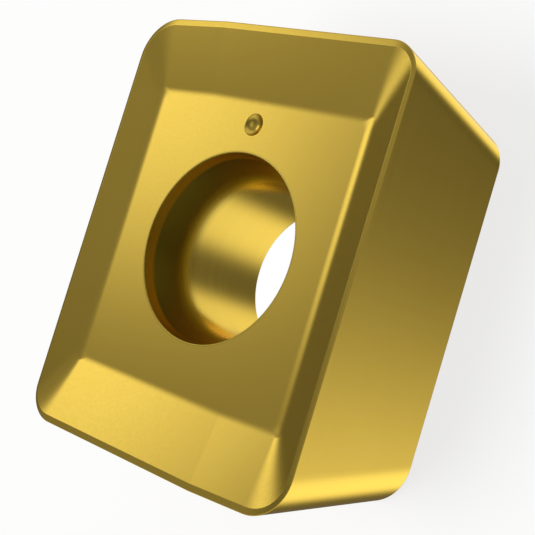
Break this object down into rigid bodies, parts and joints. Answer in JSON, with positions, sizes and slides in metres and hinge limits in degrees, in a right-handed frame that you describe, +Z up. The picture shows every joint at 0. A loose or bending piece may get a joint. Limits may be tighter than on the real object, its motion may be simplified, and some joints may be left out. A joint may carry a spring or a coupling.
{
  "type": "indexable carbide milling insert",
  "caption": "Rectangular indexable milling insert of coated carbide with a dished rake face, narrow lands, round corners, relieved ends and a countersunk screw hole.",
  "frame": {"origin": "centre of the clamp screw hole on the flat seat face", "axes": "+Z up along the screw hole from the seat face to the rake face, +X across the width between the upright long flanks, +Y along the length towards the cutting end with the index dimple"},
  "size_m": [0.0128, 0.0158, 0.0062],
  "materials": {
    "coated_carbide": "satin gold hard coating on sintered carbide"
  },
  "bodies": {
    "root": {"insert_body": "coated_carbide"}
  },
  "joints": []
}
